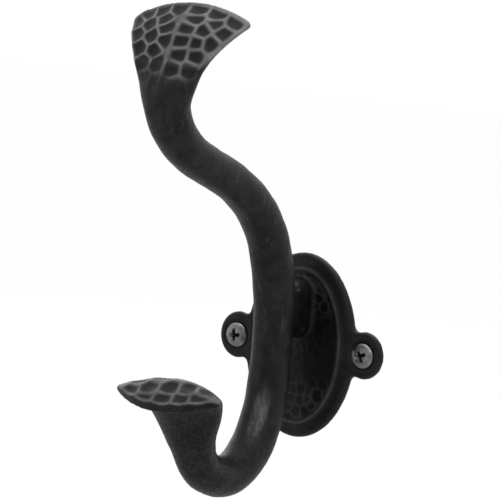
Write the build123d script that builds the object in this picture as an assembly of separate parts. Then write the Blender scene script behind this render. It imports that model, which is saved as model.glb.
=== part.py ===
from bisect import bisect_left
from build123d import *
import math
import os

os.makedirs("parts", exist_ok=True)

# A cast-iron hat and coat hook with a hammered finish, and its two wall screws.
# Millimetres. X runs to the right along the wall, Y points into the wall and Z up.
# The origin is the middle of the oval plate's back face, which lies on the wall (Y = 0).
# The hook is symmetrical about X = 0, so its bar is described in the Y-Z plane.

# ---------------------------------------------------------------- driving dimensions

# Wall plate: an oval with an ear at each side, and a rimmed oval table inside its border
plate_width = 41.4
plate_height = 60.0
plate_thickness = 2.5
border_bevel = 0.9
border_width = 4.4
table_rise = 0.7
table_bevel = 0.3
table_rim = 1.0
table_sink = 0.25
ear_half_width = 6.8
ear_half_height = 7.6
ear_blend = 2.0

# Screws: number 8, domed head with a cross recess
screw_spacing = 48.6
screw_head_diameter = 8.0
screw_head_rim = 0.7
screw_head_dome = 1.5
screw_head_flat = 4.6
screw_shank_diameter = 4.2
screw_length = 10.0
screw_point_length = 4.0
recess_span = 4.4
recess_slot = 1.15
recess_depth = 1.7
hole_clearance = 0.25
seat_clearance = 0.45
seat_depth = 0.6

# Bar: where its centre line runs, out from the wall and above or below the plate's middle
bar_diameter = 13.2
bar_standoff = 17.9
neck_reach = 82.9
neck_height = 77.2
bend_reach = 40.5
bend_drop = 38.2
prong_reach = 55.6
prong_drop = 30.2

# The bar's skin is made of short straight steps, shorter where it bends
skin_step = 8.0
skin_turn = 12.0
fan_steps = 2

# Boss that joins the bar to the plate, with a flared foot
boss_width = 9.0
boss_height = 19.0
boss_top_margin = 2.6
boss_cove = 1.8
field_inset = border_width + table_rim
boss_centre_height = plate_height / 2 - field_inset - boss_top_margin - boss_height / 2

# Hat head: a fan that leans back to the wall over its bar
hat_width = 42.0
hat_edge_radius = 0.65
hat_arc_rise = 3.9
hat_corner_left = 4.5
hat_corner_right = 2.0
hat_right_lift = 1.3

# Coat tip: a fan that rolls forward over the end of its bar
coat_width = 38.6
coat_edge_radius = 0.95
coat_arc_rise = 7.8
coat_corner = 4.5
coat_left_lift = 1.4

# Hammer marks: round-bottomed dents that crowd the two fans
hammer_radius = 10.5
hammer_depth = 0.7


# ---------------------------------------------------------------- sections of the bar

def rise_arc_radius(half_width, rise, edge_radius):
    """Radius of the flat arc that crowns a section and runs smoothly into its round edges."""
    reach = half_width - edge_radius
    return (reach**2 + rise**2 - edge_radius**2) / (2 * (rise - edge_radius))


def crown_joint(half_width, rise, edge_radius):
    """Where the crown meets the edge round, to the right of the middle."""
    radius = rise_arc_radius(half_width, rise, edge_radius)
    reach = half_width - edge_radius
    drop = radius - rise
    share = radius / (radius - edge_radius)
    return share * reach, share * drop - drop


def bar_section(reach, height, lean, half_width, front_rise, back_rise, edge_radius):
    """One closed cross-section of the bar, made of four arcs that meet smoothly.

    The section's middle is reach out from the wall and height above the plate's middle.
    lean turns its front, in degrees, from straight out towards up."""
    turn = math.radians(lean)
    front = Vector(0, -math.cos(turn), math.sin(turn))
    plane = Plane((0, -reach, height), x_dir=(1, 0, 0), z_dir=Vector(1, 0, 0).cross(front))

    def place(x, y):
        return plane.from_local_coords(Vector(x, y, 0))

    front_x, front_y = crown_joint(half_width, front_rise, edge_radius)
    back_x, back_y = crown_joint(half_width, back_rise, edge_radius)
    front_right = place(front_x, front_y)
    front_left = place(-front_x, front_y)
    back_right = place(back_x, -back_y)
    back_left = place(-back_x, -back_y)
    return Wire([
        ThreePointArc(front_left, place(0, front_rise), front_right),
        ThreePointArc(front_right, place(half_width, 0), back_right),
        ThreePointArc(back_right, place(0, -back_rise), back_left),
        ThreePointArc(back_left, place(-half_width, 0), front_left),
    ])


def round_section(position, tangent, radius):
    """A round cross-section of the bar, square to its centre line, in four quarter arcs."""
    plane = Plane(position, x_dir=(1, 0, 0), z_dir=tangent)
    spoke = Vector(radius, 0, 0)
    corners = [plane.from_local_coords(spoke.rotate(Axis.Z, turn)) for turn in (135, 45, -45, -135)]
    middles = [plane.from_local_coords(spoke.rotate(Axis.Z, turn)) for turn in (90, 0, -90, 180)]
    return Wire([ThreePointArc(corners[i], middles[i], corners[(i + 1) % 4]) for i in range(4)])


# ---------------------------------------------------------------- the bar

coat_half = coat_width / 2
hat_half = hat_width / 2

# Stations of the coat tip, from its lip back to the prong:
# reach, height, lean, half width, front rise, back rise, edge radius
coat_stations = [
    (prong_reach + 25.4, 15.2 - prong_drop, 52, 1.03 * coat_half, 1.35, 1.15, coat_edge_radius),
    (prong_reach + 22.7, 17.3 - prong_drop, 66, 1.03 * coat_half, 2.1, 1.3, coat_edge_radius),
    (prong_reach + 19.5, 19.2 - prong_drop, 90, 1.02 * coat_half, 3.6, 2.0, coat_edge_radius),
    (prong_reach + 16.2, 20.4 - prong_drop, 110, 0.97 * coat_half, 5.3, 3.1, 1.1),
    (prong_reach + 12.2, 20.0 - prong_drop, 134, 0.865 * coat_half, 5.7, 4.4, 1.5),
    (prong_reach + 8.6, 17.0 - prong_drop, 155, 0.745 * coat_half, 5.8, 5.5, 2.2),
    (prong_reach + 5.8, 12.4 - prong_drop, 160, 0.615 * coat_half, 6.0, 6.0, 3.2),
    (prong_reach + 3.6, 7.0 - prong_drop, 158, 0.46 * coat_half, 6.4, 6.4, 5.0),
    (prong_reach + 1.9, 3.4 - prong_drop, 147, 0.39 * coat_half, 6.5, 6.5, 5.8),
]

# Centre line of the round bar, from the prong round the bend and up the stem to the neck:
# reach and height
bar_points = [
    (prong_reach, -prong_drop),
    (bend_reach + 6.8, 1.2 - bend_drop),
    (bend_reach - 6.5, 1.0 - bend_drop),
    (bar_standoff + 8.6, 6.2 - bend_drop),
    (bar_standoff + 2.1, 18.2 - bend_drop),
    (bar_standoff, -5.0),
    (bar_standoff + 0.3, boss_centre_height),
    (bar_standoff + 3.2, boss_centre_height + 15.3),
    (bar_standoff + 12.2, neck_height - 34.1),
    (neck_reach - 38.0, neck_height - 23.7),
    (neck_reach - 22.4, neck_height - 17.5),
    (neck_reach - 9.2, neck_height - 11.3),
    (neck_reach, neck_height),
]

# How the forged bar swells and thins: share of the way from prong to neck, share of its diameter
bar_swells = [
    (0.0, 1.0), (0.06, 0.98), (0.18, 1.06), (0.3, 1.02), (0.4, 0.98), (0.54, 1.04), (0.68, 0.98),
    (0.8, 0.93), (0.91, 0.96), (1.0, 1.06),
]

# Stations of the hat head, from the neck up to its top edge, as for the coat tip
hat_stations = [
    (neck_reach + 0.9, neck_height + 3.1, -10, 0.385 * hat_half, 6.4, 6.3, 5.4),
    (neck_reach + 1.1, neck_height + 6.3, 0, 0.455 * hat_half, 5.3, 5.5, 3.5),
    (neck_reach + 1.1, neck_height + 11.1, 6, 0.56 * hat_half, 3.6, 4.2, 2.2),
    (neck_reach + 0.0, neck_height + 15.4, 17, 0.67 * hat_half, 2.5, 3.2, 1.5),
    (neck_reach - 2.0, neck_height + 19.3, 30, 0.79 * hat_half, 2.8, 2.6, 1.2),
    (neck_reach - 5.0, neck_height + 22.7, 42, 0.90 * hat_half, 3.5, 2.0, 0.9),
    (neck_reach - 9.4, neck_height + 26.0, 51, 1.0 * hat_half, 4.3, 1.6, hat_edge_radius),
    (neck_reach - 15.8, neck_height + 30.2, 56, 1.14 * hat_half, 5.0, 1.3, hat_edge_radius),
]


def swell_at(share):
    """The bar's diameter at this share of its way, as a share of bar_diameter."""
    for (start, thin), (end, thick) in zip(bar_swells, bar_swells[1:]):
        if share <= end:
            return thin + (thick - thin) * (share - start) / (end - start)


def bar_shares(route):
    """How far along the bar each step of its skin starts, closer together where it bends."""
    samples = [i / 400 for i in range(401)]
    spent = [0.0]
    for start, end in zip(samples, samples[1:]):
        turn = (route % start).get_angle(route % end)
        spent.append(spent[-1] + (end - start) * route.length / skin_step + turn / skin_turn)
    steps = math.ceil(spent[-1])
    return [samples[bisect_left(spent, spent[-1] * (i / steps))] for i in range(steps + 1)]


def refined(stations):
    """The stations with more between them, on smooth curves through each of their values."""
    finer = []
    for i in range(len(stations) - 1):
        before = stations[max(i - 1, 0)]
        after = stations[min(i + 2, len(stations) - 1)]
        for step in range(fan_steps):
            u = step / fan_steps
            finer.append([
                b + u * (c - a + u * (2 * a - 5 * b + 4 * c - d + u * (3 * b - 3 * c + d - a))) / 2
                for a, b, c, d in zip(before, stations[i], stations[i + 1], after)
            ])
    return finer + [stations[-1]]


def build_bar():
    """The forged bar from lip to top edge, as one skin of short steps over all its sections."""
    route = Spline([(0, -reach, height) for reach, height in bar_points])
    sections = [bar_section(*station) for station in refined(coat_stations)]
    for share in bar_shares(route):
        sections.append(round_section(route @ share, route % share, swell_at(share) * bar_diameter / 2))
    sections += [bar_section(*station) for station in refined(hat_stations)]
    return Solid.make_loft(sections, ruled=True)


def fan_end(plane, half_width, arc_rise, left_lift, right_lift, left_corner, right_corner, taper):
    """What is cut away past a fan's end, to leave an arc between two rounded corners.

    The plane lies along the sheet, with its origin between the corners and its y axis
    pointing off the end. The lifts move a corner off the end, so that the arc sits askew.
    taper is how much each flank draws in for each millimetre back."""
    flank = 3 * arc_rise
    foot = half_width - taper * flank
    left = (-half_width, left_lift)
    right = (half_width, right_lift)
    kept = make_face([
        Line((foot, -flank), right),
        ThreePointArc(right, (0, arc_rise), left),
        Line(left, (-foot, -flank)),
        Line((-foot, -flank), (foot, -flank)),
    ])
    for end, radius in ((right, right_corner), (left, left_corner)):
        corner = kept.vertices().sort_by_distance((*end, 0))[0]
        kept = fillet(corner, radius)
    blank = Pos(0, 2 * half_width - flank) * Rectangle(4 * half_width, 4 * half_width)
    return extrude(plane * (blank - kept), amount=half_width, both=True)


def sheet_plane(reach, height, lean, off_end):
    """A plane along a fan's sheet; off_end is 1 where the fan ends upwards, -1 downwards."""
    turn = math.radians(lean)
    front = Vector(0, -math.cos(turn), math.sin(turn))
    return Plane((0, -reach, height), x_dir=(1, 0, 0), z_dir=off_end * front)


def trim_fans(bar):
    """Cut both fans' ends to their arcs."""
    hat_plane = sheet_plane(neck_reach - 9.4, neck_height + 26.0, 51, 1)
    hat_corners = (0, hat_right_lift, hat_corner_left, hat_corner_right)
    hat_end = fan_end(hat_plane, hat_half, hat_arc_rise, *hat_corners, 0.2)
    coat_plane = sheet_plane(prong_reach + 16.0, 20.6 - prong_drop, 70, -1)
    coat_corners = (coat_left_lift, 0, coat_corner, coat_corner)
    coat_end = fan_end(coat_plane, coat_half, coat_arc_rise, *coat_corners, -0.3)
    return bar - hat_end - coat_end


# Where the hammer fell on the hat head: right of its middle, and above the neck
hat_marks = [
    (-3.7, 29.2), (3.6, 29.3), (-9.4, 28.4), (10.2, 28.4), (16.2, 26.5),
    (-14.4, 26.8), (-6.2, 26.2), (4.3, 26.6), (11.2, 25.9),
    (-17.0, 24.0), (-11.2, 24.0), (-4.0, 23.4), (3.3, 23.8), (8.9, 23.4), (15.0, 23.4),
    (-14.2, 20.8), (-8.4, 20.6), (-3.2, 20.1), (3.4, 20.2), (8.4, 20.0), (12.6, 20.2),
    (-11.3, 17.2), (-5.4, 16.8), (9.2, 16.2), (4.2, 16.2),
    (-8.1, 12.8), (8.0, 12.2), (-3.0, 12.8), (3.4, 11.8),
]

# And on the coat tip: right of its middle, and out from the prong
coat_marks = [
    (6.9, 16.6), (12.3, 14.8), (1.8, 18.2), (-5.6, 19.1), (12.4, 19.2),
    (7.6, 21.0), (-11.6, 20.6), (1.6, 22.0), (-5.2, 22.6), (-11.0, 15.6), (-4.0, 14.2),
]


def hammer_dent(solid, line, radius, depth):
    """A ball that dents the solid where the line first meets it, square to its surface."""
    hits = solid.find_intersection_points(line)
    ahead = [hit for hit in hits if (hit[0] - line.position).dot(line.direction) > 0]
    point, normal = min(ahead, key=lambda hit: (hit[0] - line.position).length)
    outward = normal if normal.dot(line.direction) < 0 else -normal
    return Pos(*(point + outward * (radius - depth))) * Sphere(radius)


def hammer_fans(bar):
    """The bar with its dents: from the front on the hat head, from above on the coat tip."""
    dents = []
    for across, height in hat_marks:
        blow = Axis((across, -2 * neck_reach, neck_height + height), (0, 1, 0))
        dents.append(hammer_dent(bar, blow, hammer_radius, hammer_depth))
    for across, reach in coat_marks:
        blow = Axis((across, -prong_reach - reach, 0), (0, 0, -1))
        dents.append(hammer_dent(bar, blow, hammer_radius, hammer_depth))
    return bar - dents


# ---------------------------------------------------------------- the wall plate

table_front = plate_thickness + table_rise
table_floor = table_front - table_sink


def inner_oval(inset):
    """An oval that lies inset from the edge of the plate's oval."""
    return Ellipse(plate_width / 2 - inset, plate_height / 2 - inset)


def build_plate():
    """The oval plate with its ears, bevelled border, sunk table and boss for the bar."""
    outline = Ellipse(plate_width / 2, plate_height / 2)
    for side in (-1, 1):
        outline += Pos(side * screw_spacing / 2, 0) * Ellipse(ear_half_width, ear_half_height)
    necks = [
        corner for corner in outline.vertices() if plate_width / 3 < abs(corner.X) < plate_width / 2
    ]
    outline = fillet(necks, ear_blend)
    plate = extrude(Plane.XZ * outline, amount=plate_thickness)
    plate = chamfer(plate.faces().sort_by(Axis.Y)[0].edges(), border_bevel)

    table = extrude(Plane.XZ * inner_oval(border_width), amount=table_front)
    table = chamfer(table.faces().sort_by(Axis.Y)[0].edges(), table_bevel)
    field = inner_oval(field_inset)
    hollow = extrude(Plane.XZ.offset(table_floor) * field, amount=table_front)
    column = Pos(0, boss_centre_height) * SlotOverall(boss_height, boss_width, rotation=90)
    plate = plate + table - hollow + extrude(Plane.XZ * column, amount=bar_standoff)
    margin = table_sink / 2
    foot = plate.edges().filter_by_position(Axis.Y, -table_floor - margin, -table_floor + margin)
    foot = foot.filter_by(GeomType.LINE) + foot.filter_by(GeomType.CIRCLE)
    return fillet(foot, boss_cove)


# ---------------------------------------------------------------- the screws

def screw_place(side):
    """Where a screw's head seats in its ear; its axis points out from the wall."""
    return Plane.XZ.offset(plate_thickness - seat_depth) * Pos(side * screw_spacing / 2, 0)


def screw_hole():
    """The clearance hole through an ear and the round seat that takes the screw's head."""
    hole = Cylinder(screw_shank_diameter / 2 + hole_clearance, 2 * plate_thickness)
    seat = Cylinder(screw_head_diameter / 2 + seat_clearance, plate_thickness)
    return hole + Pos(0, 0, plate_thickness / 2) * seat


def build_screw():
    """A pan-head wood screw with a cross recess, standing on its seat, head up."""
    head_radius = screw_head_diameter / 2
    shank_radius = screw_shank_diameter / 2
    top = screw_head_rim + screw_head_dome
    profile = make_face(Polyline(
        (0, top),
        (screw_head_flat / 2, top),
        (head_radius, screw_head_rim),
        (head_radius, 0),
        (shank_radius, 0),
        (shank_radius, screw_point_length - screw_length),
        (0, -screw_length),
        close=True,
    ))
    screw = revolve(Plane.XZ * profile, Axis.Z)
    recess = Box(recess_span, recess_slot, 2 * recess_depth)
    recess += Box(recess_slot, recess_span, 2 * recess_depth)
    return screw - Pos(0, 0, top) * recess


# ---------------------------------------------------------------- the finished pieces

screw_sides = {"screw_left": -1, "screw_right": 1}

hook = hammer_fans(trim_fans(build_bar())) + build_plate()
for side in screw_sides.values():
    hook -= screw_place(side) * screw_hole()
export_step(hook, "parts/hook_casting.step")

screw = build_screw()
for name, side in screw_sides.items():
    export_step(screw_place(side) * screw, f"parts/{name}.step")
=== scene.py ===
# %% [markdown]
# # A cast-iron hat and coat hook
#
# The object is a wall hook: an oval plate carries a round bar that sweeps up into a fanned
# hat head and down into a rolled coat tip, and two wood screws hold it to the wall.
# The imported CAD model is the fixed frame. It gives every piece its size and place, so this
# script only dresses it: a worn, blackened iron skin for the casting and satin steel for
# the screws. Lengths below are written in millimetres and turned to metres by one factor.

import math

import bmesh
import bpy
import numpy as np
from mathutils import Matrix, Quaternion, Vector, noise


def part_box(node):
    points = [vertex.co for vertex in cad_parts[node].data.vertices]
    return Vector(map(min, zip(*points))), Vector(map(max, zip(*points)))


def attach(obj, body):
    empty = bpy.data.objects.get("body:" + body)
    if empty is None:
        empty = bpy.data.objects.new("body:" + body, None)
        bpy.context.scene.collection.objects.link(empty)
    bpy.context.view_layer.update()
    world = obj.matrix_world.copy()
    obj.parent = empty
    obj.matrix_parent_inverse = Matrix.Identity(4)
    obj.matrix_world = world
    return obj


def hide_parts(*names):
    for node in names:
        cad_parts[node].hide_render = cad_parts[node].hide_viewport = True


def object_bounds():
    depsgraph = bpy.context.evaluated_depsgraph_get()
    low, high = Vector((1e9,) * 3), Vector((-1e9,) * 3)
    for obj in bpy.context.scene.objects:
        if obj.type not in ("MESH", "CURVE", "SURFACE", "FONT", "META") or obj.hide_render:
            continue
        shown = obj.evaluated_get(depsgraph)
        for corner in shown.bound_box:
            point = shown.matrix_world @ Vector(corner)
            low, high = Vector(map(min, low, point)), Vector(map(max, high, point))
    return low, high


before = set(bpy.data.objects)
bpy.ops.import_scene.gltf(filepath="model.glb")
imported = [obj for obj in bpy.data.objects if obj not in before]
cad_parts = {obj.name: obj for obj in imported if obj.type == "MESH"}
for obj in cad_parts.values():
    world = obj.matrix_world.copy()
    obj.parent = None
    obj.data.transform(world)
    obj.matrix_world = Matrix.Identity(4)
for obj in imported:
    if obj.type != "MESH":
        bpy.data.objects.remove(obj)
cad_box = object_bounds()
MM = 0.001
print("CAD nodes:", sorted(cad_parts))

# %% [markdown]
# ## Camera
#
# A product view of such a hook is taken from well back with a long lens, so that the head,
# which stands nearer the viewer, doesn't swell. Two angles and a small roll place the
# camera on a sphere round the point it looks at. Euler angles would do the same, but a
# quaternion that tracks the aim leaves only the roll to be set by hand.

# %% Place the camera
CAMERA_AZIMUTH = math.radians(34.0)
CAMERA_ELEVATION = math.radians(6.5)
CAMERA_ROLL = math.radians(4.25)
CAMERA_DISTANCE = 900 * MM
CAMERA_AIM = Vector((-17.7, -7.9, 29.0)) * MM
CAMERA_LENS = 200.9

look = Vector((
    -math.sin(CAMERA_AZIMUTH) * math.cos(CAMERA_ELEVATION),
    math.cos(CAMERA_AZIMUTH) * math.cos(CAMERA_ELEVATION),
    -math.sin(CAMERA_ELEVATION),
))
camera = bpy.data.objects.new("camera", bpy.data.cameras.new("camera"))
camera.data.lens = CAMERA_LENS
camera.location = CAMERA_AIM - CAMERA_DISTANCE * look
camera.rotation_mode = "QUATERNION"
camera.rotation_quaternion = look.to_track_quat("-Z", "Y") @ Quaternion((0, 0, 1), CAMERA_ROLL)
bpy.context.scene.collection.objects.link(camera)
bpy.context.scene.camera = camera
print("camera at", [round(x, 3) for x in camera.location])

# %% [markdown]
# ## The casting's skin
#
# Cast iron has no sharp edge anywhere: sand, tumbling and years of wax round every one.
# The CAD solid has the true form but comes as loose triangles of very unequal size, which
# shade badly. Bevelling each edge would take hours of picking. A voxel remesh instead
# wraps the whole form in one even skin, and a little smoothing rounds what the remesh
# leaves stepped, just as tumbling does to a casting.

# %% Wrap the casting in an even skin
SKIN_VOXEL = 0.36 * MM


def merged_copy(node, name):
    """A copy of a CAD node as a new object, with its loose triangles joined."""
    copy = bpy.data.objects.new(name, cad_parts[node].data.copy())
    bpy.context.scene.collection.objects.link(copy)
    shape = bmesh.new()
    shape.from_mesh(copy.data)
    bmesh.ops.remove_doubles(shape, verts=shape.verts, dist=0.001 * MM)
    shape.to_mesh(copy.data)
    shape.free()
    copy.data.materials.clear()
    return copy


def apply_modifiers(piece):
    """Turn a piece's modifiers into plain mesh."""
    graph = bpy.context.evaluated_depsgraph_get()
    finished = bpy.data.meshes.new_from_object(piece.evaluated_get(graph))
    old = piece.data
    piece.modifiers.clear()
    piece.data = finished
    bpy.data.meshes.remove(old)


casting = merged_copy("hook_casting", "iron_casting")
remesh = casting.modifiers.new("skin", "REMESH")
remesh.mode = "VOXEL"
remesh.voxel_size = SKIN_VOXEL
apply_modifiers(casting)
casting.data.polygons.foreach_set("use_smooth", [True] * len(casting.data.polygons))
print("skin:", len(casting.data.polygons), "faces")

# %% [markdown]
# ## Smoothing with arrays
#
# The skin has over a hundred thousand vertices, and the steps below smooth it many times
# over. The editor's Smooth brush or modifier would do it, but the same averaging is wanted
# for numbers that lie on the skin, such as how proud it stands, so it is written once, for
# any array that has a row per vertex. Averaging alone thins a bar a little each time.
# Taking every second step outwards, by slightly more, irons ripples out and keeps the girth.


# %% Helpers that average over a skin
def vertex_array(mesh, what):
    """One vector per vertex: its place (co) or its normal."""
    source = mesh.vertices if what == "co" else mesh.vertex_normals
    flat = np.empty(3 * len(mesh.vertices))
    source.foreach_get("co" if what == "co" else "vector", flat)
    return flat.reshape(-1, 3)


def neighbours(mesh):
    """A function that gives, for each vertex, the middle of its neighbours' values."""
    ends = np.empty(2 * len(mesh.edges), dtype=np.int64)
    mesh.edges.foreach_get("vertices", ends)
    ends = ends.reshape(-1, 2)
    here = np.concatenate([ends[:, 0], ends[:, 1]])
    there = np.concatenate([ends[:, 1], ends[:, 0]])
    count = np.maximum(np.bincount(here, minlength=len(mesh.vertices)), 1)

    def middle(values):
        columns = [np.bincount(here, column[there], len(count)) / count for column in values.T]
        return np.stack(columns, axis=1)

    return middle


def averaged(middle, values, rounds):
    """Values drawn half-way to their neighbours' middle, a number of times."""
    for _ in range(rounds):
        values = values + 0.5 * (middle(values) - values)
    return values


def ironed(middle, values, weight, rounds):
    """Values smoothed in and out by turns, where weight is 1, so that nothing shrinks."""
    for _ in range(rounds):
        for share in (0.5, -0.51):
            values = values + share * weight * (middle(values) - values)
    return values


def between(low, high, values):
    """0 at low, 1 at high and a smooth rise between them, whichever of the two is larger."""
    share = np.clip((values - low) / (high - low), 0, 1)
    return share * share * (3 - 2 * share)


def store(piece, name, values):
    """Keep one number per vertex on the piece, for its material to read."""
    layer = piece.data.attributes.new(name, "FLOAT", "POINT")
    layer.data.foreach_set("value", np.ascontiguousarray(values, dtype=np.float32))
    print(piece.name, name, "mean", round(float(values.mean()), 3))


# %% [markdown]
# ## Forged bar
#
# The bar's pattern was drawn out under a hammer, so its skin is smooth to the hand but
# never quite true: it has shallow planes and swellings a few millimetres across. They
# could be sculpted by hand. Noise that moves each vertex along its normal gives the same
# look, repeats exactly and can be kept to the bar by a weight. The bar is ironed first,
# because the CAD's short steps would catch the light as rings. The coat tip has a weight
# of its own, so that the ironing stops short of its hammer marks. A weight is made from
# zones, which are pairs of places: it rises from 0 at the first to 1 at the second.

# %% Iron the bar, then give it forged planes
BAR_IRONING = 130
FORGE_DEPTH = 0.22 * MM
FORGE_SIZE = 7.0 * MM
SKIN_SMOOTHING = 6
OFF_PLATE = (-4.5 * MM, -6.5 * MM)
UNDER_HEAD = (92 * MM, 86 * MM)
PAST_BEND = (-46 * MM, -50 * MM)
OVER_PRONG = (-29 * MM, -26 * MM)
UNDER_NECK = (20 * MM, 10 * MM)

middle = neighbours(casting.data)
place = vertex_array(casting.data, "co")
tip = between(*PAST_BEND, place[:, 1])
tip *= between(*OVER_PRONG, place[:, 2]) * between(*UNDER_NECK, place[:, 2])
bar = between(*OFF_PLATE, place[:, 1]) * between(*UNDER_HEAD, place[:, 2]) * (1 - tip)
place = averaged(middle, place, SKIN_SMOOTHING)
place = ironed(middle, place, bar[:, None], BAR_IRONING)
casting.data.vertices.foreach_set("co", place.ravel())
casting.data.update()
normals = vertex_array(casting.data, "normal")
forged = np.array([noise.noise(Vector(point) / FORGE_SIZE) for point in place])
place -= normals * (bar * FORGE_DEPTH * between(-0.6, 0.6, forged))[:, None]
print("bar vertices ironed:", int((bar > 0.5).sum()))

# %% [markdown]
# ## Hammered fans
#
# The CAD has a ball-shaped dent where each blow landed, but for the three lowest on the hat
# head, which are too faint to need one. In the casting the walls between neighbouring dents
# stand up as thin crisp ridges, so that the fan looks tiled with many-sided cells. Such a
# ridge lies where two blows are equally near, which is what a Voronoi cell is, so each
# vertex on a fan looks for its nearest two blows. A small gap between the two distances is
# a ridge, and a large one is a floor, which is pressed in. A plain border runs round each
# fan, the cells fade out towards the neck, and a rib runs up the middle of the hat head,
# where the smith's fuller left it. The tip's lip is ironed in the end, because the
# outermost dents would leave it scalloped.

# %% Where the hammer fell
# On the hat head: right of its middle and above the neck, in millimetres.
HAT_NECK = 77.2
hat_blows = [
    (-3.7, 29.2), (3.6, 29.3), (-9.4, 28.4), (10.2, 28.4), (16.2, 26.5),
    (-14.4, 26.8), (-6.2, 26.2), (4.3, 26.6), (11.2, 25.9),
    (-17.0, 24.0), (-11.2, 24.0), (-4.0, 23.4), (3.3, 23.8), (8.9, 23.4), (15.0, 23.4),
    (-14.2, 20.8), (-8.4, 20.6), (-3.2, 20.1), (3.4, 20.2), (8.4, 20.0), (12.6, 20.2),
    (-11.3, 17.2), (-5.4, 16.8), (9.2, 16.2), (4.2, 16.2),
    (-8.1, 12.8), (8.0, 12.2), (-3.0, 12.8), (3.4, 11.8),
    (-6.2, 8.8), (5.6, 7.6), (-2.4, 7.6),
]
# On the coat tip: right of its middle and out from the prong.
PRONG_TIP = 55.6
coat_blows = [
    (6.9, 16.6), (12.3, 14.8), (1.8, 18.2), (-5.6, 19.1), (12.4, 19.2),
    (7.6, 21.0), (-11.6, 20.6), (1.6, 22.0), (-5.2, 22.6), (-11.0, 15.6), (-4.0, 14.2),
]
print("blows on the hat head:", len(hat_blows), "and on the coat tip:", len(coat_blows))


# %% Raise the ridges between hammer marks
RIDGE_WIDTH = 0.75 * MM
RIDGE_HEIGHT = 0.18 * MM
RIDGE_SOFTENING = 3
RIB_HALF_WIDTH = 0.8 * MM
DENT_REACH = (2.7 * MM, 3.9 * MM)
HAT_CELLS = (3 * MM, 16 * MM)
HAT_WORN = (12 * MM, 17 * MM)
HAT_BORDER = (0.96, 0.88)
TIP_WORN = (-64 * MM, -68 * MM)
TIP_BORDER = (0.84, 0.76)
BORDER_SPREAD = 60
HEAD_LEFT = (7 * MM, -5 * MM)
HEAD_LEFT_PAINTED_SHADE = 0.6
TIP_BLACK = 0.4
FACING_FRONT = (0.05, -0.2)
FACING_UP = (0.15, 0.45)
LIP = (0.98, 0.85)
LIP_IRONING = 160


def blow_points(blows, across, along, facing):
    """Where each blow landed: the facing vertex that lies nearest to it in its own view."""
    spots = np.flatnonzero(facing)
    points = []
    for blow in blows:
        away = np.hypot(place[spots, across] - blow[0] * MM, place[spots, along] - blow[1] * MM)
        points.append(place[spots[np.argmin(away)]])
    return points


def nearest_two(points):
    """Each vertex's distance to its nearest blow and to the next one."""
    away = np.stack([np.linalg.norm(place - point, axis=1) for point in points], axis=1)
    away.partition(1, axis=1)
    return away[:, 0], away[:, 1]


hat_height = place[:, 2] - HAT_NECK * MM
hat_front = between(*HAT_CELLS, hat_height) * between(*FACING_FRONT, normals[:, 1])
tip_top = tip * between(*FACING_UP, normals[:, 2])
hat_places = [(x, HAT_NECK + z) for x, z in hat_blows]
hat_points = blow_points(hat_places, 0, 2, (hat_height > 5 * MM) & (normals[:, 1] < -0.3))
coat_places = [(x, -PRONG_TIP - y) for x, y in coat_blows]
coat_points = blow_points(coat_places, 0, 1, tip_top > 0.5)

# worn_end is a fan's free end, where the flats between and around the cells are bare too.
ridge = np.zeros(len(place))
floors = np.zeros(len(place))
for fan, points, worn_end, border in (
    (hat_front, hat_points, between(*HAT_WORN, hat_height), HAT_BORDER),
    (tip_top, coat_points, between(*TIP_WORN, place[:, 1]), TIP_BORDER),
):
    near, next_near = nearest_two(points)
    wall = between(2 * RIDGE_WIDTH, 0.2 * RIDGE_WIDTH, next_near - near)
    inland = averaged(middle, fan[:, None], BORDER_SPREAD)[:, 0]
    wall = np.maximum(wall, worn_end * between(*border, inland))
    plain = between(*DENT_REACH, near)
    wall = np.maximum(wall, plain)
    ridge = np.maximum(ridge, fan * wall * (1 - plain * (1 - worn_end)))
    floors = np.maximum(floors, fan * (1 - wall))
rib = hat_front * between(RIB_HALF_WIDTH, 0.4 * RIB_HALF_WIDTH, np.abs(place[:, 0]))
ridge = np.maximum(ridge, rib)
floors *= 1 - rib
# The head's left half has its pale ridges dimmed as painted shade, so that the right half
# reads as lit from the right. The tip keeps more of its black.
ridge *= 1 - HEAD_LEFT_PAINTED_SHADE * between(*HEAD_LEFT, place[:, 0]) * between(0, 10 * MM, hat_height)
ridge *= 1 - TIP_BLACK * tip
ridge, floors = averaged(middle, np.stack([ridge, floors], axis=1), RIDGE_SOFTENING).T
place -= normals * (floors * RIDGE_HEIGHT)[:, None]
lip = tip * between(*LIP, averaged(middle, tip_top[:, None], BORDER_SPREAD)[:, 0])
place = ironed(middle, place, lip[:, None], LIP_IRONING)
print("vertices on ridges:", int((ridge > 0.5).sum()))

# %% [markdown]
# ## The plate's table
#
# The recessed table on the plate carries a finer and fainter hammering, in cells of about
# three millimetres. It is too shallow for the CAD to need it, and bump alone would vanish at
# a low angle, so the cells are pressed into the mesh. The blows here are a Voronoi noise
# with no list, because nobody aimed them. Their walls are paler at the table's two ends and
# stay black in the middle, behind the bar.

# %% Hammer the plate's table
TABLE_CELL = 3.2 * MM
TABLE_DEPTH = 0.09 * MM
TABLE_HALF_WIDTH = 14.9 * MM
TABLE_HALF_HEIGHT = 24.2 * MM
TABLE_FLOOR = (-2.4 * MM, -2.6 * MM)
BEHIND_BOSS = (-3.9 * MM, -3.7 * MM)
FACING_ROOM = (-0.6, -0.9)

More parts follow.
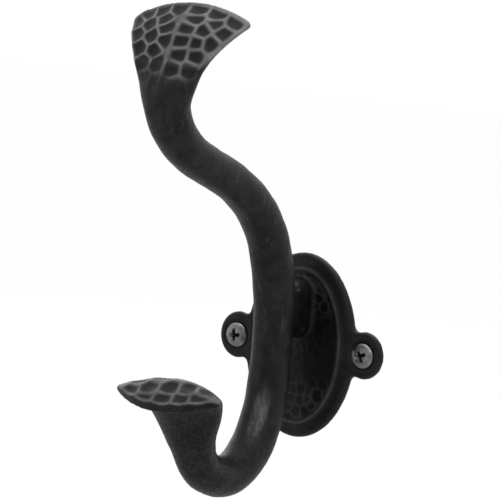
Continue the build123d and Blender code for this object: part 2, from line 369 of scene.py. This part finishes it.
oval = (place[:, 0] / TABLE_HALF_WIDTH) ** 2 + (place[:, 2] / TABLE_HALF_HEIGHT) ** 2
in_oval = between(1.0, 0.94, oval)
table = in_oval * between(*TABLE_FLOOR, place[:, 1])
table *= between(*BEHIND_BOSS, place[:, 1]) * between(*FACING_ROOM, normals[:, 1])
normals = vertex_array(casting.data, "normal")
cell_wall = np.zeros(len(place))
for spot in np.flatnonzero(table > 0.01):
    x, y, z = place[spot] / TABLE_CELL
    near, next_near = noise.voronoi(Vector((x, 0.5, z)))[0][:2]
    cell_wall[spot] = max(0.0, 1 - 3.5 * (next_near - near))
place -= normals * (table * TABLE_DEPTH * (1 - cell_wall))[:, None]
casting.data.vertices.foreach_set("co", place.ravel())
casting.data.update()
print("table vertices hammered:", int((table > 0.5).sum()))

# %% [markdown]
# ## Where the casting is proud
#
# Black finish rubs off whatever stands proud: the rims on the plate and the fans' edges.
# The render engine can guess that from its own pointiness, but the piece keeps its look in
# other programs if the mesh itself carries it. Each vertex is compared with a smoothed copy
# of the skin: one that stands outside it is proud. A round bar stands proud everywhere, so
# the local average of that measure is taken off. Few hands reach the plate, so edges there
# wear less, and the tip's edges a little less too. Edges that face down under the tip and
# those at the foot of the hat head lose their pale wear as painted shade.

# %% Measure how proud the skin stands
EDGE_REACH = 14
EDGE_LEVEL = 120
EDGE_HEIGHT = 0.06 * MM
ON_PLATE = (-7 * MM, -5 * MM)
UNDERSIDE_SHADE = (0.4, -0.1)
HEAD_FOOT_SHADE = (16 * MM, 9 * MM)
TABLE_ENDS = (7 * MM, 17 * MM)

start = vertex_array(casting.data, "co")
facing = vertex_array(casting.data, "normal")
proud = ((start - averaged(middle, start, EDGE_REACH)) * facing).sum(1)
proud -= averaged(middle, proud[:, None], EDGE_LEVEL)[:, 0]
edge_wear_and_shade = 1 - between(*ON_PLATE, place[:, 1]) * (0.6 + 0.35 * table)
# Painted shade: edges facing down under the tip and at the foot of the hat head keep no pale wear.
edge_wear_and_shade *= 1 - tip * (0.3 + 0.7 * between(*UNDERSIDE_SHADE, normals[:, 2]))
edge_wear_and_shade *= 1 - 0.75 * between(*HEAD_FOOT_SHADE, hat_height) * between(0, 3 * MM, hat_height)
store(casting, "edge", np.clip(proud / EDGE_HEIGHT, -1, 1) * edge_wear_and_shade)
pale_table_walls = 0.01 + 0.11 * between(*TABLE_ENDS, np.abs(place[:, 2]))
store(casting, "ridge", np.maximum(ridge, pale_table_walls * table * cell_wall))
store(casting, "floor", floors)
store(casting, "bar", bar)

# %% [markdown]
# ## Painted shade behind the bar, sand grain and a painted highlight
#
# The rest of the marks have places of their own. The plate behind the bar gets a deeper
# black: partly old wax and dust out of every hand's reach, partly painted shade where the
# bar shades the plate. The prong is less worn than the stem and keeps the grain of the
# moulding sand. A long pale patch up the front of the stem, where the skin faces one
# direction, is a painted highlight. Such places could be painted by hand on the mesh.
# Heights, depths and the way the skin faces describe them as well, and a skin of another
# fineness gets them again for nothing.

# %% Measure painted shade behind the bar, sand grain and a painted highlight
BORDER_GRIME_AND_SHADE = 0.35
NEAR_PLATE = (-6 * MM, -4 * MM)
BEHIND_BAR = (-18 * MM, -11 * MM)
OFF_WALL = (-1.5 * MM, -2.4 * MM)
PLAIN_GRAIN = 0.35
ALONG_PRONG = (-28 * MM, -46 * MM)
LOW_DOWN = (18 * MM, -4 * MM)
HIGHLIGHT_FACING = (0.42, -0.84, 0.34)
HIGHLIGHT_SPREAD = (0.91, 0.995)
HIGHLIGHT_TOP = (-8 * MM, -18 * MM)
HIGHLIGHT_FOOT = (-39 * MM, -27 * MM)
ON_STEM = (-36 * MM, -30 * MM)

# Painted shade with grime: a deeper black on the plate behind the bar and on the back of the stem near
# it, where the bar shades the plate.
grime_and_shade_weight = 0.3 * between(*NEAR_PLATE, place[:, 1]) + 0.7 * between(*BEHIND_BAR, place[:, 1])
grime_and_shade_weight *= BORDER_GRIME_AND_SHADE + (1 - BORDER_GRIME_AND_SHADE) * in_oval
store(casting, "grime_and_shade", grime_and_shade_weight * between(*OFF_WALL, place[:, 1]))

prong = between(*ALONG_PRONG, place[:, 1]) * between(*LOW_DOWN, place[:, 2])
store(casting, "as_cast", PLAIN_GRAIN + (1 - PLAIN_GRAIN) * prong)

# Painted highlight: a pale patch on the stem where its skin faces one direction, as a lamp's reflection
# would lie.
painted_highlight = bar * between(*HIGHLIGHT_SPREAD, facing @ np.array(HIGHLIGHT_FACING))
painted_highlight *= between(*HIGHLIGHT_TOP, place[:, 2]) * between(*HIGHLIGHT_FOOT, place[:, 2])
painted_highlight *= between(*ON_STEM, place[:, 1])
store(casting, "painted_highlight", painted_highlight)

# %% [markdown]
# ## Spend faces where they show
#
# An even skin gives the plain bar as many faces as the fans. Retopology by hand would place
# them well, but a decimation that is weighted towards the bar does it in seconds. It keeps
# the measures above, and the smooth bar doesn't show its larger triangles.

# %% Thin out the bar's faces
KEEP_SHARE = 0.52
group = casting.vertex_groups.new(name="plain")
for spot in np.flatnonzero(bar > 0.9):
    group.add([int(spot)], 1.0, "REPLACE")
thin = casting.modifiers.new("thin", "DECIMATE")
thin.ratio = KEEP_SHARE
thin.vertex_group = "plain"
apply_modifiers(casting)
casting.vertex_groups.clear()
casting.data.polygons.foreach_set("use_smooth", [True] * len(casting.data.polygons))
print("casting:", sum(len(p.vertices) - 2 for p in casting.data.polygons), "triangles")

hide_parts("hook_casting")
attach(casting, "root")

# %% [markdown]
# ## Helpers for materials
#
# Colours are picked as sRGB hex values, as on a paint card, and the shader works in linear
# light, so one function turns one into the other. A second adds a node, sets it up and
# fills its inputs in a single call, so a material reads from its patterns down to its
# shader. The node editor would show the same tree, but not the order that it was built in.


# %% Helpers for colours and nodes
def linear(hex_code):
    """An sRGB hex colour as the linear RGBA that the shader wants."""
    channels = [int(hex_code[i : i + 2], 16) / 255 for i in (1, 3, 5)]
    return [c / 12.92 if c <= 0.04045 else ((c + 0.055) / 1.055) ** 2.4 for c in channels] + [1]


def add(tree, kind, inputs, out=0, **settings):
    """Add a node and give back one of its outputs.

    An input gets a plain value or another node's output. It is picked by its name, or by
    its number where several share a name."""
    node = tree.nodes.new(kind)
    for name, value in settings.items():
        setattr(node, name, value)
    for key, value in inputs.items():
        if isinstance(value, bpy.types.NodeSocket):
            tree.links.new(value, node.inputs[key])
        else:
            node.inputs[key].default_value = value
    return node.outputs[out] if node.outputs else None


def bare_tree(owner):
    """The empty node tree of a material or a world."""
    owner.use_nodes = True
    owner.node_tree.nodes.clear()
    return owner.node_tree


# %% [markdown]
# ## Blackened cast iron
#
# The real finish is grey iron, tumbled, blackened and waxed. A smith would black it with
# oxide in a hot bath, and the look comes in layers, so the material is built in the same
# order: a black coat that took unevenly; a speckle of sand grain from the mould; faint
# streaks where hands rub along the bar; a painted highlight up the front of the stem;
# deeper black in the hammer marks; deeper black behind the bar, which is grime and painted
# shade together; and pale metal where ridges, rims and edges have lost their black. Wax
# gives it all a satin sheen. The black is an oxide, so the shader isn't metallic, and its
# low specular level stands for pores that swallow most of the gloss. The speckle is drawn
# coarser than real sand, which is about a third of a millimetre, so that it shows from
# arm's length.

# %% Patterns in the iron
GRAIN_SIZE = 0.75 * MM
BLOTCH_SIZE = 5.0 * MM
STREAK_WIDTH = 1.6 * MM
STREAK_STRETCH = 0.14

iron = bpy.data.materials.new("blackened_cast_iron")
tree = bare_tree(iron)
spot = add(tree, "ShaderNodeTexCoord", {}, out="Object")
drawn = add(tree, "ShaderNodeMapping", {"Vector": spot, "Scale": (1.0, 1.0, STREAK_STRETCH)})
pattern = {}
for name, where, size, detail, roughness in (
    ("grain", spot, GRAIN_SIZE, 2.0, 0.6),
    ("blotch", spot, BLOTCH_SIZE, 4.0, 0.6),
    ("streak", drawn, STREAK_WIDTH, 3.0, 0.65),
):
    noise_inputs = {"Vector": where, "Scale": 1 / size, "Detail": detail, "Roughness": roughness}
    pattern[name] = add(tree, "ShaderNodeTexNoise", noise_inputs, out="Fac")
for name in ("edge", "ridge", "floor", "grime_and_shade", "as_cast", "bar", "painted_highlight"):
    pattern[name] = add(tree, "ShaderNodeAttribute", {}, out="Fac", attribute_name=name)
print("iron grain", GRAIN_SIZE / MM, "mm, blotches", BLOTCH_SIZE / MM, "mm")

# %% Ease the patterns into shares
# Each share starts from its lowest value where the pattern is low and ends at its highest.
share = {}
for name, source, low, high, least, most in (
    ("uneven", "blotch", 0.35, 0.65, 0.0, 1.0),
    ("speckle", "grain", 0.42, 0.58, 0.0, 0.85),
    ("scuffs", "streak", 0.56, 0.78, 0.0, 0.42),
    ("painted_highlight_streaks", "streak", 0.38, 0.62, 0.35, 1.0),
    ("rims", "edge", 0.2, 0.9, 0.0, 0.8),
    ("patches", "blotch", 0.3, 0.7, 0.6, 1.0),
    ("gloss", "grain", 0.3, 0.7, 0.38, 0.56),
):
    limits = {"From Min": low, "From Max": high, "To Min": least, "To Max": most}
    inputs = {"Value": pattern[source], **limits}
    share[name] = add(tree, "ShaderNodeMapRange", inputs, interpolation_type="SMOOTHSTEP")
for name, operation, first, second in (
    ("speckle", "MULTIPLY", share["speckle"], pattern["as_cast"]),
    ("scuffs", "MULTIPLY", share["scuffs"], pattern["bar"]),
    ("painted_highlight_streaks", "MULTIPLY", share["painted_highlight_streaks"], pattern["painted_highlight"]),
    ("marks", "MULTIPLY", pattern["floor"], 0.5),
    ("proud", "MAXIMUM", share["rims"], pattern["ridge"]),
):
    share[name] = add(tree, "ShaderNodeMath", {0: first, 1: second}, operation=operation)
bare = add(tree, "ShaderNodeMath", {0: share["proud"], 1: share["patches"]}, operation="MULTIPLY")
print("shares:", ", ".join(share))

# %% Lay the iron's colours over each other
coat = linear("#121213")
for thickness, colour in (
    (share["uneven"], "#1f1f20"),
    (share["speckle"], "#060606"),
    (share["scuffs"], "#454546"),
    # painted highlight up the front of the stem
    (share["painted_highlight_streaks"], "#585859"),
    (share["marks"], "#0f0f0f"),
    # painted shade and grime behind the bar
    (pattern["grime_and_shade"], "#050505"),
    (bare, "#7b7b7d"),
):
    layer = {0: thickness, 6: coat, 7: linear(colour)}
    coat = add(tree, "ShaderNodeMix", layer, out=2, data_type="RGBA")
bump = {"Height": pattern["grain"], "Strength": 0.5, "Distance": 0.06 * MM}
surface = add(tree, "ShaderNodeBsdfPrincipled", {
    "Base Color": coat,
    "Roughness": share["gloss"],
    "Specular IOR Level": 0.12,
    "Normal": add(tree, "ShaderNodeBump", bump),
})
add(tree, "ShaderNodeOutputMaterial", {"Surface": surface})
casting.data.materials.append(iron)
print("iron:", len(tree.nodes), "nodes")

# %% [markdown]
# ## Screws
#
# Number 8 wood screws with a domed head. A machine forges the head, stamps the tapered
# cross in it and rolls the thread on. The same steps suit a model: a profile spun round
# its axis, a tapered cross cut out of the dome, and a thread that is rolled by pushing the
# shank's vertices in and out with a wave that turns once round per pitch. The wave costs
# far less than a swept thread and looks the same at this size. A fine bevel rounds the
# cross's edges, which catch the light in any real screw.

# %% Screw sizes
SCREW_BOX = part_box("screw_left")
SCREW_AXIS_X = (SCREW_BOX[0][0] + SCREW_BOX[1][0]) / 2
HEAD_RADIUS = (SCREW_BOX[1][0] - SCREW_BOX[0][0]) / 2
HEAD_TOP = -SCREW_BOX[0][1]
TIP_DEPTH = SCREW_BOX[1][1]
HEAD_HEIGHT = 2.2 * MM
HEAD_RIM = 0.7 * MM
SHANK_RADIUS = 2.05 * MM
THREAD_DEPTH = 0.42 * MM
THREAD_PITCH = 1.6 * MM
THREAD_START = 1.2 * MM
THREAD_CREST = 0.7
SCREW_SIDES = 64
CROSS_SPAN = 4.6 * MM
CROSS_SLOT = 1.2 * MM
CROSS_DEPTH = 1.6 * MM
CROSS_FOOT = (0.4, 0.6, 1.0)
CROSS_MOUTH = (1.9, 1.6, 1.0)
CROSS_ROUNDING = 0.07 * MM
DOME = HEAD_HEIGHT - HEAD_RIM
DOME_RADIUS = (HEAD_RADIUS**2 + DOME**2) / (2 * DOME)
DOME_STEPS = 16
SEAT = HEAD_TOP - HEAD_HEIGHT
print("screw head", round(2 * HEAD_RADIUS / MM, 2), "mm, seat", round(SEAT / MM, 2), "mm from the wall")


# %% Spin, roll and cut a screw
def screw_profile():
    """Radius and height above the seat, from the crown to the point."""
    turns = [math.asin(HEAD_RADIUS / DOME_RADIUS) * i / DOME_STEPS for i in range(DOME_STEPS)]
    crown = [
        (DOME_RADIUS * math.sin(turn), HEAD_HEIGHT - DOME_RADIUS * (1 - math.cos(turn)))
        for turn in turns
    ]
    rim = [
        (HEAD_RADIUS, HEAD_RIM - 0.1 * MM), (HEAD_RADIUS, 0.15 * MM),
        (HEAD_RADIUS - 0.12 * MM, 0), (SHANK_RADIUS, 0),
    ]
    length = TIP_DEPTH + SEAT
    shank = [(SHANK_RADIUS * min(1, (100 - i) / 40), -length * i / 100) for i in range(1, 101)]
    return crown + rim + shank


def spun_screw():
    """A closed screw whose axis is its own Z, with a thread rolled on its shank."""
    shape = bmesh.new()
    corners = [shape.verts.new((radius, 0, height)) for radius, height in screw_profile()]
    edges = [shape.edges.new(pair) for pair in zip(corners, corners[1:])]
    bmesh.ops.spin(
        shape, geom=corners + edges, cent=(0, 0, 0), axis=(0, 0, 1), angle=2 * math.pi,
        steps=SCREW_SIDES, use_merge=True,
    )
    bmesh.ops.remove_doubles(shape, verts=shape.verts, dist=0.001 * MM)
    bmesh.ops.recalc_face_normals(shape, faces=shape.faces)
    for vert in shape.verts:
        radius = math.hypot(vert.co.x, vert.co.y)
        if vert.co.z < -THREAD_START and radius > 0.05 * MM:
            turn = math.atan2(vert.co.y, vert.co.x) / (2 * math.pi)
            wave = abs(2 * ((vert.co.z / THREAD_PITCH - turn) % 1) - 1)
            sink = THREAD_DEPTH * (1 - wave) ** THREAD_CREST * radius / SHANK_RADIUS
            vert.co.xy *= (radius - sink) / radius
    mesh = bpy.data.meshes.new("wood_screw")
    shape.to_mesh(mesh)
    shape.free()
    return mesh


def cross_blade(turn):
    """One tapered blade of the punch that stamps the cross."""
    shape = bmesh.new()
    bmesh.ops.create_cube(shape, size=1.0)
    bmesh.ops.scale(shape, verts=shape.verts, vec=(CROSS_SPAN, CROSS_SLOT, 2 * CROSS_DEPTH))
    bottom = [vert for vert in shape.verts if vert.co.z < 0]
    bmesh.ops.scale(shape, verts=bottom, vec=CROSS_FOOT)
    bmesh.ops.scale(shape, verts=list(set(shape.verts) - set(bottom)), vec=CROSS_MOUTH)
    bmesh.ops.translate(shape, verts=shape.verts, vec=(0, 0, HEAD_HEIGHT))
    bmesh.ops.rotate(shape, verts=shape.verts, matrix=Quaternion((0, 0, 1), turn).to_matrix())
    mesh = bpy.data.meshes.new("blade")
    shape.to_mesh(mesh)
    shape.free()
    blade = bpy.data.objects.new("blade", mesh)
    bpy.context.scene.collection.objects.link(blade)
    return blade


def cut_screw(name, turn):
    """A screw with its cross turned from upright."""
    piece = bpy.data.objects.new(name, spun_screw())
    bpy.context.scene.collection.objects.link(piece)
    blades = [cross_blade(turn), cross_blade(turn + math.pi / 2)]
    for blade in blades:
        cut = piece.modifiers.new("cross", "BOOLEAN")
        cut.object = blade
        cut.operation = "DIFFERENCE"
        cut.solver = "EXACT"
    rounding = piece.modifiers.new("rounding", "BEVEL")
    rounding.width = CROSS_ROUNDING
    rounding.segments = 2
    rounding.limit_method = "ANGLE"
    rounding.angle_limit = math.radians(38)
    apply_modifiers(piece)
    for blade in blades:
        bpy.data.objects.remove(blade)
    piece.data.polygons.foreach_set("use_smooth", [True] * len(piece.data.polygons))
    piece.data.set_sharp_from_angle(angle=math.radians(35))
    return piece


def seated(piece, side):
    """Turn the screw's axis out from the wall and set its head on its seat."""
    shape = bmesh.new()
    shape.from_mesh(piece.data)
    bmesh.ops.rotate(shape, verts=shape.verts, matrix=Quaternion((1, 0, 0), math.pi / 2).to_matrix())
    bmesh.ops.translate(shape, verts=shape.verts, vec=(side * abs(SCREW_AXIS_X), -SEAT, 0))
    shape.to_mesh(piece.data)
    shape.free()


# %% Make both screws
# Each cross ended up at a turn of its own when the screw bit. A weight marks the cross for
# painted shade: what lies below the dome near the head's middle.
screws = []
for name, side, turn in (("screw_left", -1, 6), ("screw_right", 1, 24)):
    piece = cut_screw("wood_" + name, math.radians(turn))
    x, y, z = vertex_array(piece.data, "co").T
    away = np.hypot(x, y)
    painted_cross_shade = between(0.02 * MM, 0.15 * MM, HEAD_HEIGHT - away**2 / (2 * DOME_RADIUS) - z)
    store(piece, "painted_cross_shade", painted_cross_shade * (away < 0.75 * HEAD_RADIUS) * (z > 0.1 * MM))
    seated(piece, side)
    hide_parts(name)
    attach(piece, "root")
    screws.append(piece)
    print(piece.name, len(piece.data.polygons), "faces")

# %% [markdown]
# ## Satin screw steel
#
# The screws are zinc-plated steel, tumbled dull. Plating is fine-grained metal, so the
# roughness wavers a little, with faint smears. The stamped cross is darkened as painted
# shade in its recess, which is what makes it read as a cross from a distance.

# %% Make the steel
SMEAR_SIZE = 1.5 * MM

steel = bpy.data.materials.new("satin_screw_steel")
tree = bare_tree(steel)
spot = add(tree, "ShaderNodeTexCoord", {}, out="Object")
smear_inputs = {"Vector": spot, "Scale": 1 / SMEAR_SIZE, "Detail": 3.0, "Roughness": 0.6}
smear = add(tree, "ShaderNodeTexNoise", smear_inputs, out="Fac")
uneven, dull = [
    add(tree, "ShaderNodeMapRange", {
        "Value": smear, "From Min": low, "From Max": high, "To Min": least, "To Max": most,
    }, interpolation_type="SMOOTHSTEP")
    for low, high, least, most in ((0.35, 0.65, 0.0, 1.0), (0.3, 0.7, 0.32, 0.44))
]
painted_cross_shade = add(tree, "ShaderNodeAttribute", {}, out="Fac", attribute_name="painted_cross_shade")
plating = linear("#606061")
# The cross is darkened as painted shade in its recess.
for thickness, colour in ((uneven, "#767678"), (painted_cross_shade, "#0c0c0c")):
    layer = {0: thickness, 6: plating, 7: linear(colour)}
    plating = add(tree, "ShaderNodeMix", layer, out=2, data_type="RGBA")
surface = add(tree, "ShaderNodeBsdfPrincipled", {
    "Base Color": plating,
    "Metallic": 1.0,
    "Roughness": dull,
})
add(tree, "ShaderNodeOutputMaterial", {"Surface": surface})
for piece in screws:
    piece.data.materials.append(steel)
print("steel smears", SMEAR_SIZE / MM, "mm")

# %% [markdown]
# ## Floor, backdrop and light
#
# A dark object on white needs a bright surround that doesn't flood it. The floor and the
# world show white to the camera and in reflections, but light the object far less. Big soft
# lamps stand in for the studio's boxes. Most of the light comes from above and behind, so
# that it rims the bar, whitens the fans' tops and leaves the front of the iron dark. Weak
# lamps at the right and low on the left lift the head and the underside of the tip.

# %% Floor
FLOOR_DROP = 75 * MM
FLOOR_GLOW = 0.98

floor = bpy.data.objects.new("floor", bpy.data.meshes.new("floor"))
sheet = bmesh.new()
bmesh.ops.create_grid(sheet, x_segments=1, y_segments=1, size=3.0)
bmesh.ops.translate(sheet, verts=sheet.verts, vec=(0, 0, cad_box[0][2] - FLOOR_DROP))
sheet.to_mesh(floor.data)
sheet.free()
bpy.context.scene.collection.objects.link(floor)


def seen_or_mirrored(tree):
    """1 for rays from the camera, a mirror or clear glass, 0 for light that falls on things."""
    seen = add(tree, "ShaderNodeLightPath", {}, out="Is Camera Ray")
    for ray in ("Is Glossy Ray", "Is Transmission Ray"):
        other = add(tree, "ShaderNodeLightPath", {}, out=ray)
        seen = add(tree, "ShaderNodeMath", {0: seen, 1: other}, operation="MAXIMUM")
    return seen


paper = bpy.data.materials.new("white_paper")
tree = bare_tree(paper)
matt = add(tree, "ShaderNodeBsdfDiffuse", {"Color": linear("#ffffff")})
glow = add(tree, "ShaderNodeEmission", {"Color": linear("#ffffff"), "Strength": 1.0})
glowing = add(tree, "ShaderNodeMath", {0: seen_or_mirrored(tree), 1: FLOOR_GLOW}, operation="MULTIPLY")
surface = add(tree, "ShaderNodeMixShader", {0: glowing, 1: matt, 2: glow})
add(tree, "ShaderNodeOutputMaterial", {"Surface": surface})
floor.data.materials.append(paper)
print("floor", round(FLOOR_DROP / MM), "mm under the hook")

# %% World
AMBIENT = 0.35

world = bpy.data.worlds.new("studio")
bpy.context.scene.world = world
tree = bare_tree(world)
white = linear("#ffffff")
ambient = add(tree, "ShaderNodeBackground", {"Color": white, "Strength": AMBIENT})
backdrop = add(tree, "ShaderNodeBackground", {"Color": white, "Strength": 1.0})
sky = add(tree, "ShaderNodeMixShader", {0: seen_or_mirrored(tree), 1: ambient, 2: backdrop})
add(tree, "ShaderNodeOutputWorld", {"Surface": sky})
print("world lights at", AMBIENT)

# %% Lamps
LAMP_TARGET = Vector((0, -30, 30)) * MM


def softbox(name, offset_mm, width_mm, watts):
    """A square area lamp that faces the object."""
    lamp = bpy.data.objects.new(name, bpy.data.lights.new(name, "AREA"))
    lamp.data.size = width_mm * MM
    lamp.data.energy = watts
    lamp.location = LAMP_TARGET + Vector(offset_mm) * MM
    lamp.rotation_mode = "QUATERNION"
    lamp.rotation_quaternion = (LAMP_TARGET - lamp.location).to_track_quat("-Z", "Y")
    bpy.context.scene.collection.objects.link(lamp)
    print(name, watts, "W")


softbox("top", (0, -100, 900), 600, 3.6)
softbox("top_back", (0, 550, 700), 600, 5.0)
softbox("top_left", (-600, -100, 650), 600, 0.8)
softbox("top_right", (600, -300, 600), 600, 1.6)
softbox("left", (-900, 100, 100), 600, 0.6)
softbox("back_left", (-700, 500, 250), 600, 1.8)
softbox("back_right", (700, 600, 200), 600, 0.6)
softbox("front_right", (600, -600, 600), 400, 1.3)
softbox("low_left", (-450, -700, -80), 200, 0.7)

# %% [markdown]
# ## Finish
#
# The view transform is set to Standard. The skin must stay inside the CAD model's box.

# %% Finish
bpy.context.scene.view_settings.view_transform = "Standard"
